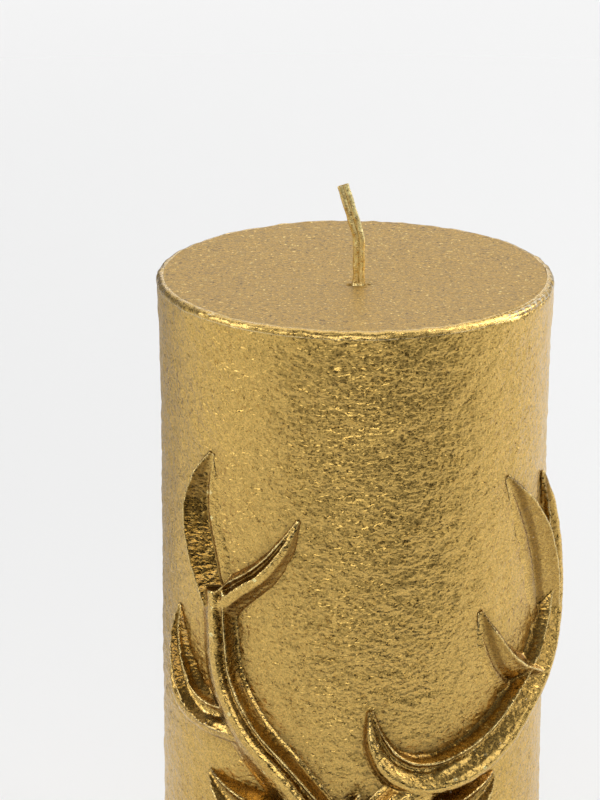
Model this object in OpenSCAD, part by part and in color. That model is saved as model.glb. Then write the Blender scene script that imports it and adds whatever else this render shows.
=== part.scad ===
// Gold-coated pillar candle with a stag in relief.
// A cast wax pillar with a sealed wick assembly, a thin gold film over the side, rim, top and wick,
// and a stag made of separate wax castings that sit on the film.
// Millimetres, +Z up. The origin is the centre of the base; the stag faces -Y.
// Places on the relief are [s, z]: s is the distance round the girth from the front (-Y),
// positive towards +X, and z is the height above the base.

/* [Pillar] */
// Height of the candle without its wick
candle_h = 150; // [148:1:158]
// Diameter at the rim, where the pillar is widest
rim_d = 70; // [69.6:0.1:71]
// Diameter of the straight part of the pillar
body_d = 68.6; // [68:0.1:69.2]
// Height over which the pillar flares out to the rim
flare_h = 32; // [20:1:40]
// Rounding of the top edge
rim_r = 1.2; // [0.9:0.1:2]
// Rounding of the bottom edge
foot_r = 1; // [0.5:0.1:2]

/* [Gold film] */
// Thickness of the gold film on the side and top
film_t = 0.4; // [0.3:0.05:0.6]
// Extra thickness of the bead that builds up on the rim
bead_t = 0.15; // [0:0.05:0.3]
// Height of the bare wax left below the film
bare_foot = 1.2; // [1:0.1:3]
// Thickness of the gold film on the wick
wick_film_t = 0.12; // [0.08:0.02:0.2]

/* [Wick] */
// How far the wick stands to the side of the middle
wick_x = 0.5; // [-5:0.5:5]
// How far the wick stands behind the middle; a negative value is in front
wick_y = -5.5; // [-8:0.5:8]
// Height of the straight part of the wick above the top
wick_rise = 6.8; // [4:0.2:12]
// Length of the leaning part of the wick
wick_lean_len = 8.3; // [5:0.1:12]
// Lean of the wick's end
wick_lean = 17; // [5:1:25]
// Radius of each of the braid's two lobes
lobe_r = 0.56; // [0.5:0.02:0.6]
// Distance of each lobe's centre from the wick's middle
lobe_gap = 0.36; // [0.3:0.02:0.4]
// Diameter of the bore that the wick is drawn through
bore_d = 3; // [2.8:0.1:4]
// Diameter of the wick's metal tab
tab_d = 15; // [12:1:18]

/* [Relief] */
// Scale of the relief's height off the pillar
relief = 1; // [0.8:0.05:1.2]

/* [Hidden] */
$fn = 96;

body_r = body_d / 2;
rim_flare = (rim_d - body_d) / 2;
rim_c = [rim_d / 2 - rim_r, candle_h - rim_r]; // centre of the rim's rounding, in the outline's plane

glue_gap = 0.01;             // between the film and each relief casting, so that facets clear the curve
seat_r = body_r + glue_gap;
keel_depth = 1;              // how far a ridge reaches below the surface before it is cut

tab_t = 0.3;
tab_z = 0.9;                 // underside of the tab, above the base
tab_neck_h = 6;
tab_neck_r = 1.25;
tab_bore_r = 0.93;
tab_fit = 0.5;               // clearance round the tab in its recess
crater_r = 2.3;              // the pit round the wick in the top
crater_h = 1.2;
seal_len = 8;                // length of bore that the wick's seal fills
meniscus_dip = 0.8;          // top of the seal, below the candle's top

wick_bend_r = 9;
lean_foot = 0.3;             // how far the leaning end is let into the bend
lean_fit = 0.01;             // how much slimmer it is there
wick_foot_z = tab_z + tab_t;

gold = "goldenrod";
pale_wax = "ivory";

// ---------- the pillar's outline ----------

// Outer radius of the film at height z.
function flare_at(z) = rim_flare * pow(max(0, 1 - (candle_h - z) / flare_h), 2);
function side_r(z) = body_r + flare_at(z);

// Points down the side from the rim's rounding, set in by the given depth.
function side_line(inset, from_z, to_z, steps = 9) = [
    for (i = [0 : steps])
        let (z = from_z + (to_z - from_z) * i / steps)
        [min(side_r(z), rim_d / 2) - inset, z]
];
function arc(c, r, a0, a1, steps = 8) = [
    for (i = [0 : steps])
        let (a = a0 + (a1 - a0) * i / steps)
        c + r * [cos(a), sin(a)]
];

function core_outline() = concat(
    [[0, 0]],
    arc([body_r - film_t - foot_r, foot_r], foot_r, -90, 0),
    [[body_r - film_t, candle_h - flare_h]],
    side_line(film_t, candle_h - flare_h, rim_c.y),
    arc(rim_c, rim_r - film_t, 0, 90),
    [[0, candle_h - film_t]]
);

// Places something on the wick's line at height z.
module at_wick(z = 0) {
    translate([wick_x, wick_y, z]) children();
}

module wax_core() {
    color(pale_wax)
        difference() {
            rotate_extrude() polygon(core_outline());
            at_wick(-1) cylinder(d = bore_d, h = candle_h + 2);
            at_wick(-1) cylinder(d = tab_d + 2 * tab_fit, h = 1 + wick_foot_z);
            at_wick(candle_h - film_t - crater_h)
                cylinder(r1 = bore_d / 2, r2 = crater_r, h = crater_h);
        }
}

// ---------- the gold film ----------

module side_film() {
    low = [for (z = [bare_foot, candle_h - flare_h]) [body_r, z]];
    color(gold)
        rotate_extrude()
            polygon(concat(
                low,
                side_line(0, candle_h - flare_h, rim_c.y),
                side_line(film_t, rim_c.y, candle_h - flare_h),
                [[body_r - film_t, bare_foot]]
            ));
}

// The film builds up where it turns over the edge, most of all half way round the turn.
module rim_film() {
    steps = 12;
    outer = [
        for (i = [0 : steps])
            let (a = 90 * i / steps)
            rim_c + (rim_r + bead_t * pow(sin(2 * a), 2)) * [cos(a), sin(a)]
    ];
    color(gold)
        rotate_extrude()
            polygon(concat(outer, arc(rim_c, rim_r - film_t, 90, 0)));
}

module top_film() {
    color(gold)
        difference() {
            translate([0, 0, candle_h - film_t]) cylinder(r = rim_c.x, h = film_t);
            at_wick(candle_h - 1) cylinder(r = crater_r, h = 2);
        }
}

// ---------- the wick ----------

// The braid's section: two lobes side by side, grown by the given amount.
module braid_section(grow = 0) {
    for (side = [-1, 1])
        translate([side * lobe_gap, 0]) circle(r = lobe_r + grow);
    square([2 * lobe_gap, 2 * (0.75 * lobe_r + grow)], center = true);
}

// The wick from height z0 to its tip, grown by the given amount: straight, a bend towards -X, and a
// leaning end, whose foot is let into the bend and is a hair slimmer.
module wick_run(z0, grow = 0) {
    bend_z = candle_h + wick_rise;
    at_wick(z0) linear_extrude(bend_z - z0) braid_section(grow);
    at_wick(bend_z)
        translate([-wick_bend_r, 0, 0])
            rotate([90, 0, 0])
                rotate_extrude(angle = wick_lean)
                    translate([wick_bend_r, 0]) braid_section(grow);
    wick_end(-lean_foot, wick_lean_len, grow - lean_fit);
}

// The leaning end of the wick between two distances along it.
module wick_end(from, to, grow) {
    at_wick(candle_h + wick_rise)
        translate([-wick_bend_r, 0, 0])
            rotate([0, -wick_lean, 0])
                translate([wick_bend_r, 0, from])
                    linear_extrude(to - from) braid_section(grow);
}

module wick_braid() {
    color(pale_wax) wick_run(wick_foot_z);
}

module wick_film() {
    from_z = candle_h - meniscus_dip;
    color(gold)
        difference() {
            union() {
                wick_run(from_z, wick_film_t);
                wick_end(wick_lean_len - lean_foot, wick_lean_len + wick_film_t, wick_film_t);
            }
            wick_run(from_z - 1);
        }
}

// A stamped tin tab: a flat disc with a neck that grips the end of the braid.
module wick_tab() {
    color("silver")
        at_wick(tab_z)
            difference() {
                union() {
                    cylinder(d = tab_d, h = tab_t);
                    cylinder(r = tab_neck_r, h = tab_neck_h);
                    translate([0, 0, tab_t]) cylinder(r1 = 2 * tab_neck_r, r2 = tab_neck_r, h = tab_neck_r / 2);
                }
                translate([0, 0, tab_t]) cylinder(r = tab_bore_r, h = tab_neck_h);
            }
}

// Wax that closes the top of the bore round the wick, with a dished surface.
module wick_seal() {
    seal_top = candle_h - meniscus_dip;
    seam = candle_h - film_t - crater_h;
    color("tan")
        difference() {
            union() {
                at_wick(seam - seal_len) cylinder(d = bore_d, h = seal_len);
                at_wick(seam)
                    cylinder(
                        r1 = bore_d / 2,
                        r2 = bore_d / 2 + (crater_r - bore_d / 2) * (seal_top - seam) / crater_h,
                        h = seal_top - seam
                    );
            }
            wick_run(seam - seal_len - 1);
        }
}

// Wax levelled off flush with the base, over the tab.
module tab_seal() {
    color(pale_wax) at_wick() cylinder(d = tab_d + 2 * tab_fit, h = tab_z);
}

// ---------- relief: ridges that follow the pillar ----------

// A place [s, z] on the pillar, raised by v.
function wrapped(s, z, v) =
    let (a = s / body_r * 180 / PI)
    [(seat_r + v) * sin(a), -(seat_r + v) * cos(a), z];

// A smooth curve through stations [s, z, width, height], in the given number of steps between stations.
function between(a, b, c, d, t) =
    0.5 * (2 * b + (c - a) * t + (2 * a - 5 * b + 4 * c - d) * t * t + (3 * b - a - 3 * c + d) * t * t * t);
function smoothed(p, steps) =
    let (n = len(p) - 1)
    concat(
        [
            for (i = [0 : n - 1], k = [0 : steps - 1])
                between(p[max(i - 1, 0)], p[i], p[i + 1], p[min(i + 2, n)], k / steps)
        ],
        [p[n]]
    );

// One ring of a ridge: a half ellipse above the surface, and a shallow one below it that gets cut away.
function ridge_ring(station, across, lift, crown, keel) =
    let (w = max(station[2], 0.3) / 2, h = max(station[3], 0.2) * relief)
    [
        for (j = [0 : crown + keel - 1])
            let (
                a = j < crown ? 180 * j / crown : 180 + 180 * (j - crown) / keel,
                u = w * cos(a),
                v = sin(a) * (j < crown ? h : keel_depth)
            )
            wrapped(station[0] + u * across.x, station[1] + u * across.y, lift + v)
    ];

// A ridge along a path of stations. lift raises its underside off the pillar.
module ridge(path, steps = 3, crown = 8, keel = 4, lift = 0) {
    p = smoothed(path, steps);
    n = len(p);
    m = crown + keel;
    rings = [
        for (i = [0 : n - 1])
            let (
                d = p[min(i + 1, n - 1)] - p[max(i - 1, 0)],
                len_d = norm([d.x, d.y])
            )
            ridge_ring(p[i], [d.y, -d.x] / len_d, lift, crown, keel)
    ];
    sides = [
        for (i = [0 : n - 2], j = [0 : m - 1])
            let (a = i * m + j, b = i * m + (j + 1) % m)
            each [[a, b, a + m], [b, b + m, a + m]]
    ];
    start = [for (j = [1 : m - 2]) [0, j + 1, j]];
    end = [for (j = [1 : m - 2]) [(n - 1) * m, (n - 1) * m + j, (n - 1) * m + j + 1]];
    polyhedron(points = [for (r = rings) each r], faces = concat(sides, start, end), convexity = 6);
}

// The burr at an antler's foot: a ring of pearls across the beam.
module burr(s, z, turn, half_w) {
    pearls = 8;
    for (i = [0 : pearls - 1])
        let (
            a = 180 * i / (pearls - 1),
            u = half_w * cos(a),
            p = wrapped(s + u * cos(turn), z + u * sin(turn), 0.5 + 3.2 * relief * sin(a))
        )
        hull() {
            translate(p - [0, 0, 0.2]) sphere(r = 0.9, $fn = 8);
            translate(p + [0, 0, 0.5]) sphere(r = 0.7, $fn = 8);
        }
}

// Keeps what lies outside the film.
module off_the_pillar() {
    difference() {
        children();
        cylinder(r = seat_r, h = 3 * candle_h, center = true, $fn = 180);
    }
}

// ---------- the antlers ----------
// Stations are [s, z, width, height].

left_beam = [[-5, 60.5, 6.4, 3.6], [-12, 69, 6.6, 3.4], [-19, 76.5, 6.6, 3.2], [-23.5, 85, 6, 3.1],
    [-24.5, 93, 5.6, 2.9], [-25, 101, 5.4, 2.7]];
left_tines = [
    [[-25, 100, 5.2, 2.7], [-28, 108, 5.4, 2.6], [-29.4, 115, 4.8, 2.2], [-28.7, 120.5, 3, 1.5], [-27.4, 124.5, 0.6, 0.4]],
    [[-24, 98, 4.4, 2.5], [-20.5, 101.5, 4.2, 2.3], [-15.7, 105.5, 3.8, 2], [-12, 110.5, 2.8, 1.5], [-9.6, 115.5, 0.5, 0.4]],
    [[-21, 77, 5, 2.8], [-30, 78.5, 5, 2.6], [-34.5, 83.5, 4.2, 2.3], [-36.7, 89, 3, 1.6], [-37.3, 93.5, 0.5, 0.4]],
    [[-19, 75, 4.4, 2.6], [-30, 75, 3.6, 2.1], [-36, 76.5, 3, 1.8], [-39.4, 79.5, 2.2, 1.4], [-41, 83.5, 0.5, 0.4]]
];

right_beam = [[5, 60.5, 6.4, 3.6], [11, 66, 6.6, 3.5], [19, 69.5, 6.4, 3.4], [26.5, 73, 6.4, 3.3], [32.5, 77.5, 6.6, 3.3],
    [39, 82.5, 6.6, 3.4], [44.5, 89, 6.2, 3.4], [47.3, 96, 5.8, 3.4], [47.6, 103, 5, 3.1], [46.8, 110, 3.6, 2.3],
    [44.6, 116.5, 0.6, 0.4]];
right_tines = [
    [[19, 69.3, 5, 3], [12.5, 68.6, 5.6, 3.2], [7.6, 70.4, 5, 3.1], [4.3, 75, 3.6, 2.4], [3.1, 81, 1.2, 0.8]],
    [[35, 79.5, 5, 3], [29.3, 85, 4.6, 2.8], [25.8, 90.5, 3.4, 2], [24, 96.5, 0.6, 0.4]],
    [[43.5, 89, 5.2, 3], [41.5, 98, 5.2, 2.9], [38.4, 106.5, 4.8, 2.6], [34.7, 113.5, 3.6, 1.9], [30.2, 119.8, 0.6, 0.4]]
];

module left_antler_shape() {
    ridge(left_beam);
    for (tine = left_tines) ridge(tine);
    burr(-5.6, 61.2, -40, 3.6);
}

module right_antler_shape() {
    ridge(right_beam);
    for (tine = right_tines) ridge(tine);
    burr(5.6, 61.2, 40, 3.6);
}

module left_antler() {
    color(gold) off_the_pillar() left_antler_shape();
}

module right_antler() {
    color(gold) off_the_pillar() right_antler_shape();
}

// ---------- the head ----------

// A ball of the given size centred on a place on the pillar, flattened by nothing.
module blob(s, z, v, r) {
    translate(wrapped(s, z, v)) sphere(r = r, $fn = 16);
}

// Mirrored across the stag's middle.
module both_sides() {
    children();
    mirror([1, 0, 0]) children();
}

module head_shape() {
    hull() { // forehead
        both_sides() blob(3.6, 58.5, 0.6, 3.2);
        both_sides() blob(5, 51, 0, 4);
        blob(0, 47, 2.2, 3.8);
    }
    hull() { // bridge of the nose
        both_sides() blob(2.2, 50, 2, 3);
        both_sides() blob(1.8, 36, 4, 2.5);
    }
    hull() { // jaw
        both_sides() blob(4.5, 46, 0, 3.6);
        both_sides() blob(2.6, 34, 1.6, 3);
        blob(0, 29.5, 2.2, 2.3);
    }
    hull() { // nose pad
        both_sides() blob(1.9, 33.6, 5, 2);
        blob(0, 31.8, 5, 1.8);
    }
    both_sides() {
        hull() { // brow
            blob(6, 53.5, 2.4, 1.5);
            blob(3.2, 51.8, 4.2, 1.6);
        }
        hull() { // eye
            blob(6.5, 50.2, 2.9, 1.1);
            blob(5.4, 49.8, 3.4, 1.1);
        }
        hull() { // cheek
            blob(6.8, 47, 0.4, 2.6);
            blob(4.4, 40, 1.8, 2.2);
        }
        hull() { // pedicle
            blob(3.8, 58, 1, 2.6);
            blob(5.2, 60.6, 0.8, 2.7);
        }
    }
}

module ear_shape() {
    difference() {
        ridge([[8, 56.5, 4, 2.6], [13, 58.5, 7.4, 3.4], [19, 61, 6.6, 2.8], [24, 63.4, 3.6, 1.8], [28, 65.5, 0.6, 0.4]]);
        ridge([[12, 58.4, 2, 3], [14.5, 59.3, 4, 3], [19, 61.3, 3.6, 2.6], [23.6, 63.5, 1.2, 2]], lift = 1.3);
    }
}

module stag_head() {
    color(gold)
        off_the_pillar()
            difference() {
                head_shape();
                left_antler_shape();
                right_antler_shape();
                both_sides() ear_shape();
            }
}

// A tuft that stands up from the crown between the antlers.
module forelock_shape() {
    ridge([[0, 57, 4.4, 4.4], [0.4, 61, 4.2, 4], [1.6, 64.4, 2.6, 2.6], [3.4, 66.8, 0.5, 0.5]], crown = 6);
}

module forelock() {
    color(gold)
        off_the_pillar()
            difference() {
                forelock_shape();
                head_shape();
                left_antler_shape();
                right_antler_shape();
            }
}

module ear() {
    color(gold)
        off_the_pillar()
            difference() {
                ear_shape();
                left_antler_shape();
                right_antler_shape();
            }
}

module left_ear() {
    mirror([1, 0, 0]) ear();
}

module right_ear() {
    ear();
}

// ---------- the neck ----------

ruff_rows = 4;
ruff_locks = 5;

// Locks of hair hang in rows over the neck. Each row is wider and lower than the one above.
module ruff_shape() {
    ridge(
        [[0, 55, 16, 1.6], [0, 45, 23, 2.6], [0, 30, 30, 3.2], [0, 16, 34, 2.6], [0, 8, 26, 1.2]],
        crown = 12,
        keel = 6
    );
    for (row = [0 : ruff_rows - 1], i = [0 : ruff_locks - 1])
        ruff_lock(row, 2 * i / (ruff_locks - 1) - 1, (i + row) % 2);
}

// One lock. side runs from -1 to 1 across the neck; a longer lock alternates with a shorter one.
module ruff_lock(row, side, longer) {
    s = side * (10 + 1.8 * row);
    z = 45 - 9.5 * row - 3 * side * side;
    drop = 11 + 1.5 * longer;
    lean = 1.5 * side;
    crest = 4.6 - 1.4 * abs(side);
    ridge([
        [s - 0.6 * lean, z + 3, 2, crest - 2],
        [s, z - drop * 0.3, 5.4, crest],
        [s + lean, z - drop * 0.7, 4, crest - 0.4],
        [s + 0.6 * lean, z - drop, 0.5, 1]
    ], steps = 2, crown = 4, keel = 2);
}

module neck_ruff() {
    color(gold)
        off_the_pillar()
            difference() {
                ruff_shape();
                head_shape();
                both_sides() ear_shape();
            }
}

wax_core();
side_film();
rim_film();
top_film();
wick_braid();
wick_film();
wick_tab();
wick_seal();
tab_seal();
left_antler();
right_antler();
stag_head();
forelock();
left_ear();
right_ear();
neck_ruff();
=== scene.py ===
import math

import bpy
from mathutils import Matrix, Vector, noise


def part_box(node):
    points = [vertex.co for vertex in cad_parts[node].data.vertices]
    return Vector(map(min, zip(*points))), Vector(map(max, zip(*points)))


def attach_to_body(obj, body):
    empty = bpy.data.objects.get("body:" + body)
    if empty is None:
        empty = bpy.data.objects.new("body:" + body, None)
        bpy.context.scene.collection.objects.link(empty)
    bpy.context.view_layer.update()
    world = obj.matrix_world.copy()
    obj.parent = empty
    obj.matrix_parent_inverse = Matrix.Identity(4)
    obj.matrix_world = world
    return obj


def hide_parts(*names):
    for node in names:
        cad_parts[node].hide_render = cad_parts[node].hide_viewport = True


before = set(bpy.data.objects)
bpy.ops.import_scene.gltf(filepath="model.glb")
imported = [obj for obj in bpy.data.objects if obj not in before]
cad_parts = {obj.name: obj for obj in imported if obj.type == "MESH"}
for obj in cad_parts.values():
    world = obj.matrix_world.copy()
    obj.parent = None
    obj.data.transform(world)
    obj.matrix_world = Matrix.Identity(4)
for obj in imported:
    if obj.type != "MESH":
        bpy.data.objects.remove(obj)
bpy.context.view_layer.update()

bl_info = {
    "name": "Relief Pillar Candle",
    "version": (1, 0, 0),
    "blender": (4, 5, 0),
    "location": "3D View > Sidebar > Candle",
    "description": "Builds the gold skin, wick and stag relief of a pillar candle around its frame",
    "category": "Add Mesh",
}

MM = 0.001
TOP = Vector(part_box("rim_film")[1]).z  # height of the candle's top
SIDE_FOOT, SIDE_HEAD = (Vector(corner).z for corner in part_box("side_film"))
WICK_FOOT = Vector(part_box("wick_film")[0]).z - 0.6 * MM  # where the wick's gilding starts
TAB_LOW, TAB_HIGH = (Vector(corner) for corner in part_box("wick_tab"))
WICK_X = (TAB_LOW.x + TAB_HIGH.x) / 2
WICK_Y = (TAB_LOW.y + TAB_HIGH.y) / 2
WICK_BEND = 9 * MM  # radius of the bend in the wick
PIT = 2.3 * MM  # radius of the pit round the wick
RIGHT_SHOULDER = (34 * MM, 24 * MM)  # girth of its middle, and its reach, where the rim is fullest
RELIEF_SHADE_ATTRIBUTE = "painted_relief_shade"  # attribute of the relief: how much painted shade lies at each point

WRINKLE = 0.95 * MM  # usual size of the lacquer's wrinkles
FLECK = 0.45 * MM  # usual size of its flecks
MICA = 0.22 * MM  # size of its mica flakes
SHELTER = 3.5 * MM  # how near a wall has to be to shade a hollow

FLOOR_RADIUS = 1.9
WALL_RADIUS = 1.88
WALL_HEIGHT = 5
CAMERA_PLACE = (0, -0.63369, 0.33869)
CAMERA_AHEAD = Vector((-0.01457, 0.94816, -0.31747))
CAMERA_RIGHT = Vector((0.99986, 0.01645, 0.00325))
CAMERA_LENS = 169.47


# ---------- what a user would change ----------


def length(name, description, default):
    """A length property."""
    return bpy.props.FloatProperty(
        name=name, description=description, default=default, unit="LENGTH", precision=5
    )


class CandleSizes(bpy.types.PropertyGroup):
    """Sizes that the frame's boxes don't give"""

    rim_radius: length("Rim radius", "Radius at the rim", 35 * MM)
    body_radius: length("Body radius", "Radius of the straight part of the candle", 34.3 * MM)
    flare_height: length("Flare height", "Height below the rim over which the candle widens", 32 * MM)
    film: length("Film thickness", "Thickness of the gold film on the side and top", 0.4 * MM)
    edge_round: length("Edge rounding", "Rounding of the top edge where it is sharpest", 1.25 * MM)
    wick_rise: length("Wick rise", "Straight part of the wick above the top", 6.8 * MM)
    wick_lean_length: length("Leaning length", "Length of the wick's leaning end", 8.3 * MM)
    wick_lean: bpy.props.FloatProperty(
        name="Wick lean", description="Lean of the wick's end", default=math.radians(17), subtype="ANGLE"
    )
    grain: length("Relief grain", "Cell size that the relief castings are remeshed at", 0.24 * MM)


def colour(name, description, default):
    """A colour property in the scene's own linear values."""
    return bpy.props.FloatVectorProperty(
        name=name, description=description, subtype="COLOR", size=3, default=default, min=0, max=1
    )


class CandleLooks(bpy.types.PropertyGroup):
    """Colours of the finishes and the studio"""

    side_gold: colour("Side gold", "Metallic lacquer on the side", (0.69, 0.455, 0.125))
    # deep gold: darker mottle, and the colour of painted shade in hollows, creases and on the relief's walls
    deep_gold_and_shade: colour("Deep gold", "The same lacquer where it lies in a hollow", (0.36, 0.19, 0.03))
    # bright gold: light flecks, the wick's own colour, and wear with a painted highlight along crests
    bright_gold: colour("Bright gold", "The same lacquer rubbed bright on an edge", (1.0, 0.80, 0.36))
    # rim gold: the painted highlight along the rim's crest, and its light flecks
    rim_highlight_gold: colour("Rim gold", "The same lacquer along the rim, where it is palest", (1.0, 0.88, 0.56))
    top_gold: colour("Top gold", "Flat lacquer on the top", (0.50, 0.322, 0.095))
    fleck_dark: colour("Dark fleck", "Dark flecks in the lacquer", (0.13, 0.07, 0.018))
    wax: colour("Wax", "Cast wax", (0.82, 0.70, 0.50))
    cotton: colour("Cotton", "Waxed cotton of the wick", (0.78, 0.68, 0.48))
    tin: colour("Tin", "Stamped tinplate", (0.60, 0.60, 0.58))
    floor: colour("Floor", "Pale studio floor", (0.86, 0.86, 0.86))


def sizes():
    return bpy.context.scene.candle_sizes


def looks():
    return bpy.context.scene.candle_looks


# ---------- small tools ----------


def clear_selection():
    """Leaves nothing selected, so that an operator acts on the new piece only."""
    if bpy.context.object and bpy.context.object.mode != "OBJECT":
        bpy.ops.object.mode_set(mode="OBJECT")
    bpy.ops.object.select_all(action="DESELECT")


def pick(*pieces):
    """Selects these pieces only, the last one active."""
    clear_selection()
    for piece in pieces:
        piece.select_set(True)
    bpy.context.view_layer.objects.active = pieces[-1]


def named(name):
    """The active object, renamed with its mesh."""
    piece = bpy.context.object
    piece.name = name
    piece.data.name = name
    return piece


def settle(piece):
    """Puts the piece's place, turn and size into its mesh."""
    pick(piece)
    bpy.ops.object.transform_apply(location=True, rotation=True, scale=True)


def joined(name, pieces):
    """One object made of these pieces."""
    pick(*pieces)
    if len(pieces) > 1:
        bpy.ops.object.join()
    return named(name)


def worked(piece, kind, **settings):
    """Adds a modifier with these settings and applies it."""
    pick(piece)
    modifier = piece.modifiers.new(kind.title(), kind)
    for key, value in settings.items():
        setattr(modifier, key, value)
    bpy.ops.object.modifier_apply(modifier=modifier.name)


def roughen(piece, size, height, depth=1):
    """Raises and lowers the surface along its normals, with lumps of the given size."""
    pattern = bpy.data.textures.new(f"lumps_{size / MM:.2f}", "CLOUDS")
    pattern.noise_scale = size
    pattern.noise_depth = depth
    pattern.noise_basis = "IMPROVED_PERLIN"
    worked(piece, "DISPLACE", texture=pattern, texture_coords="LOCAL", strength=height, mid_level=0.5)


def shaped(piece, rule):
    """Moves each point of the mesh to where the rule puts it."""
    for vertex in piece.data.vertices:
        vertex.co = rule(vertex.co)
    piece.data.update()


def closed_up(piece):
    """Merges doubles and turns every face outwards."""
    pick(piece)
    bpy.ops.object.mode_set(mode="EDIT")
    bpy.ops.mesh.select_all(action="SELECT")
    bpy.ops.mesh.remove_doubles(threshold=0.002 * MM)
    bpy.ops.mesh.normals_make_consistent(inside=False)
    bpy.ops.object.mode_set(mode="OBJECT")


def smooth(piece):
    """Smooth shading, with edges sharper than 60 degrees kept."""
    pick(piece)
    bpy.ops.object.shade_smooth_by_angle(angle=math.radians(60))


def lathe(name, outline, steps, ring=True):
    """A round piece about Z: its outline of (radius, height) points is drawn and spun.

    A ring has its last point joined to its first; otherwise the outline starts and ends on the axis.
    """
    clear_selection()
    radius, height = outline[0]
    bpy.ops.mesh.primitive_plane_add(size=MM, location=(radius, 0, height))
    piece = named(name)
    settle(piece)
    bpy.ops.object.mode_set(mode="EDIT")
    bpy.ops.mesh.select_all(action="SELECT")
    bpy.ops.mesh.merge(type="CENTER")
    for (r0, z0), (r1, z1) in zip(outline, outline[1:], strict=False):
        bpy.ops.mesh.extrude_region_move(TRANSFORM_OT_translate={"value": (r1 - r0, 0, z1 - z0)})
    if ring:
        bpy.ops.object.mode_set(mode="OBJECT")
        last = len(piece.data.vertices) - 1
        for vertex in piece.data.vertices:
            vertex.select = vertex.index in (0, last)
        bpy.ops.object.mode_set(mode="EDIT")
        bpy.ops.mesh.edge_face_add()
    bpy.ops.mesh.select_all(action="SELECT")
    bpy.ops.mesh.spin(steps=steps, angle=2 * math.pi, center=(0, 0, 0), axis=(0, 0, 1))
    bpy.ops.object.mode_set(mode="OBJECT")
    closed_up(piece)
    return piece


def line(start, end, steps):
    """Points from the start to the end, both included."""
    return [
        tuple(a + (b - a) * i / steps for a, b in zip(start, end, strict=True)) for i in range(steps + 1)
    ]


def swell(value, middle, reach):
    """A smooth hump: 1 at the middle, 0 at the reach on either side."""
    share = min(abs(value - middle) / reach, 1)
    return (1 - share * share) ** 2


def ramp(value, low, high):
    """0 below low, 1 above high, and smooth between."""
    share = min(max((value - low) / (high - low), 0), 1)
    return share * share * (3 - 2 * share)


def attach(piece, finish, slot, *nodes):
    """Gives the piece its finish and rides it on the candle in place of these nodes of the frame."""
    piece.data.materials.clear()
    piece.data.materials.append(finish)
    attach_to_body(piece, "root")
    if nodes:
        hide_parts(*nodes)


# ---------- finishes ----------


def node(tree, kind, feeds=None, **settings):
    """Adds a node, with its settings and what feeds its inputs: other nodes' outputs or plain values."""
    made = tree.nodes.new(kind)
    for key, value in settings.items():
        setattr(made, key, value)
    for key, value in (feeds or {}).items():
        if isinstance(value, bpy.types.NodeSocket):
            tree.links.new(value, made.inputs[key])
        else:
            made.inputs[key].default_value = value
    return made


def solid(rgb):
    """The colour with full opacity."""
    return (*rgb, 1)


def new_finish(name):
    """An empty material: its tree, its surface shader and the object's own coordinates."""
    finish = bpy.data.materials.new(name)
    finish.use_nodes = True
    tree = finish.node_tree
    tree.nodes.clear()
    shader = node(tree, "ShaderNodeBsdfPrincipled")
    node(tree, "ShaderNodeOutputMaterial", {"Surface": shader.outputs["BSDF"]})
    place = node(tree, "ShaderNodeTexCoord").outputs["Object"]
    return finish, tree, shader, place


def cloud(tree, place, size, detail=2, distortion=0.0, roughness=0.5):
    """Noise with features of the given size."""
    feeds = {
        "Vector": place,
        "Scale": 1 / size,
        "Detail": detail,
        "Distortion": distortion,
        "Roughness": roughness,
    }
    return node(tree, "ShaderNodeTexNoise", feeds).outputs["Fac"]


def cells(tree, place, size):
    """A random value for each cell of the given size."""
    made = node(tree, "ShaderNodeTexVoronoi", {"Vector": place, "Scale": 1 / size})
    return node(tree, "ShaderNodeSeparateColor", {"Color": made.outputs["Color"]}).outputs[0]


def spread(tree, value, low, high, to_low=0.0, to_high=1.0):
    """Stretches a value from one range to another, and holds it there."""
    feeds = {"Value": value, "From Min": low, "From Max": high, "To Min": to_low, "To Max": to_high}
    return node(tree, "ShaderNodeMapRange", feeds).outputs["Result"]


def sums(tree, operation, a, b):
    """The sum, or another plain operation, of two values."""
    return node(tree, "ShaderNodeMath", {0: a, 1: b}, operation=operation).outputs[0]


def blended(tree, share, a, b, blend_type="MIX"):
    """A mix of two colours."""
    feeds = {0: share, 6: a, 7: b}
    return node(tree, "ShaderNodeMix", feeds, data_type="RGBA", blend_type=blend_type).outputs[2]


def raised(tree, height, distance, under=None):
    """Bump of the given depth, on top of another."""
    feeds = {"Height": height, "Distance": distance}
    if under:
        feeds["Normal"] = under
    return node(tree, "ShaderNodeBump", feeds).outputs["Normal"]


def darker(rgb, share):
    """The same colour with each value multiplied by the share."""
    return solid([value * share for value in rgb])


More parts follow.
